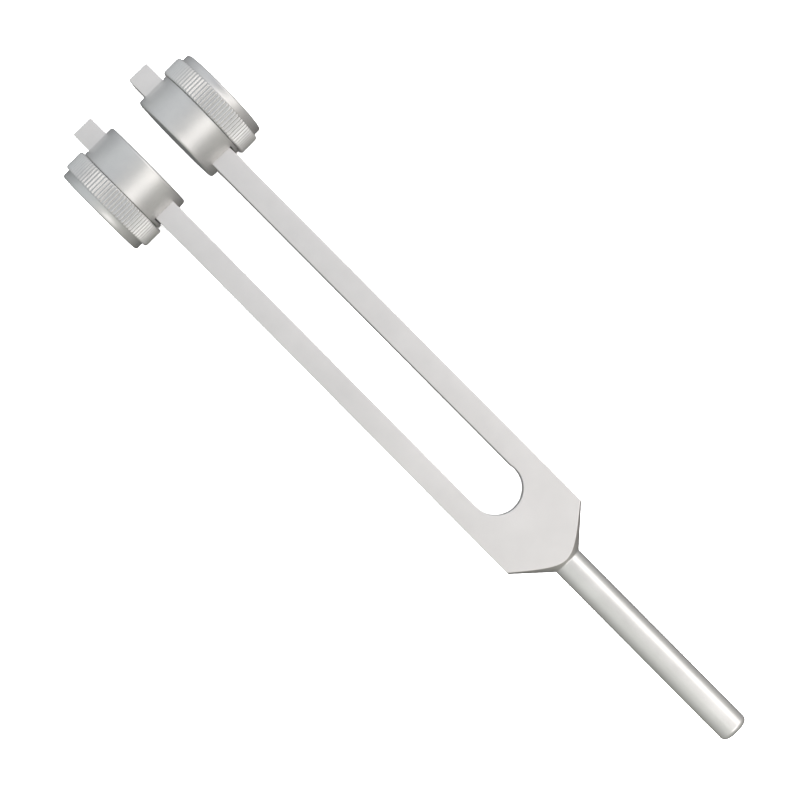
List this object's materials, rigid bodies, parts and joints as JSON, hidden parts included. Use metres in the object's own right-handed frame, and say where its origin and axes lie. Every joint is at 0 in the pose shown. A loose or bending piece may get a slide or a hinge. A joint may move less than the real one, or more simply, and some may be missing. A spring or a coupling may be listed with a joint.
{
  "type": "tuning fork",
  "caption": "Flat-bar aluminium tuning fork with a round stem and sliding drum weights clamped near the tips of its tines by knurled knobs.",
  "frame": {"origin": "centre of the flat face at the stem's foot", "axes": "+Y runs along the stem to the tips of the tines, +X points to the right tine, +Z is square to the flat faces of the fork"},
  "size_m": [0.0476, 0.24, 0.0304],
  "materials": {
    "fork_aluminium": "fine satin, polished stem",
    "weight_aluminium": "bead-blasted satin",
    "knob_aluminium": "bead-blasted satin, straight knurl",
    "screw_steel": "machined thread",
    "pad_nylon": "smooth natural nylon"
  },
  "bodies": {
    "fork": {"fork": "fork_aluminium"},
    "right_weight": {"right_drum": "weight_aluminium"},
    "right_pad": {"right_pad": "pad_nylon"},
    "right_knob": {"right_knob": "knob_aluminium", "right_screw": "screw_steel"},
    "left_weight": {"left_drum": "weight_aluminium"},
    "left_pad": {"left_pad": "pad_nylon"},
    "left_knob": {"left_knob": "knob_aluminium", "left_screw": "screw_steel"}
  },
  "joints": [
    {"name": "right_weight_slide", "type": "slide", "parent": "fork", "child": "right_weight", "axis": [0, 1, 0], "range_m": [-0.112, 0.016]},
    {"name": "right_pad_travel", "type": "slide", "parent": "right_weight", "child": "right_pad", "axis": [1, 0, 0], "range_m": [0, 0.00301]},
    {"name": "right_knob_turn", "type": "hinge", "parent": "right_pad", "child": "right_knob", "pos_m": [0.0198, 0.2204, 0], "axis": [1, 0, 0], "range_deg": [0, 1080]},
    {"name": "left_weight_slide", "type": "slide", "parent": "fork", "child": "left_weight", "axis": [0, 1, 0], "range_m": [-0.112, 0.016]},
    {"name": "left_pad_travel", "type": "slide", "parent": "left_weight", "child": "left_pad", "axis": [-1, 0, 0], "range_m": [0, 0.00301]},
    {"name": "left_knob_turn", "type": "hinge", "parent": "left_pad", "child": "left_knob", "pos_m": [-0.0198, 0.22075, 0], "axis": [-1, 0, 0], "range_deg": [0, 1080]}
  ],
  "couplings": [
    {"joint": "right_pad_travel", "follows": "right_knob_turn", "m_per_rad": 0.00015915},
    {"joint": "left_pad_travel", "follows": "left_knob_turn", "m_per_rad": 0.00015915}
  ]
}
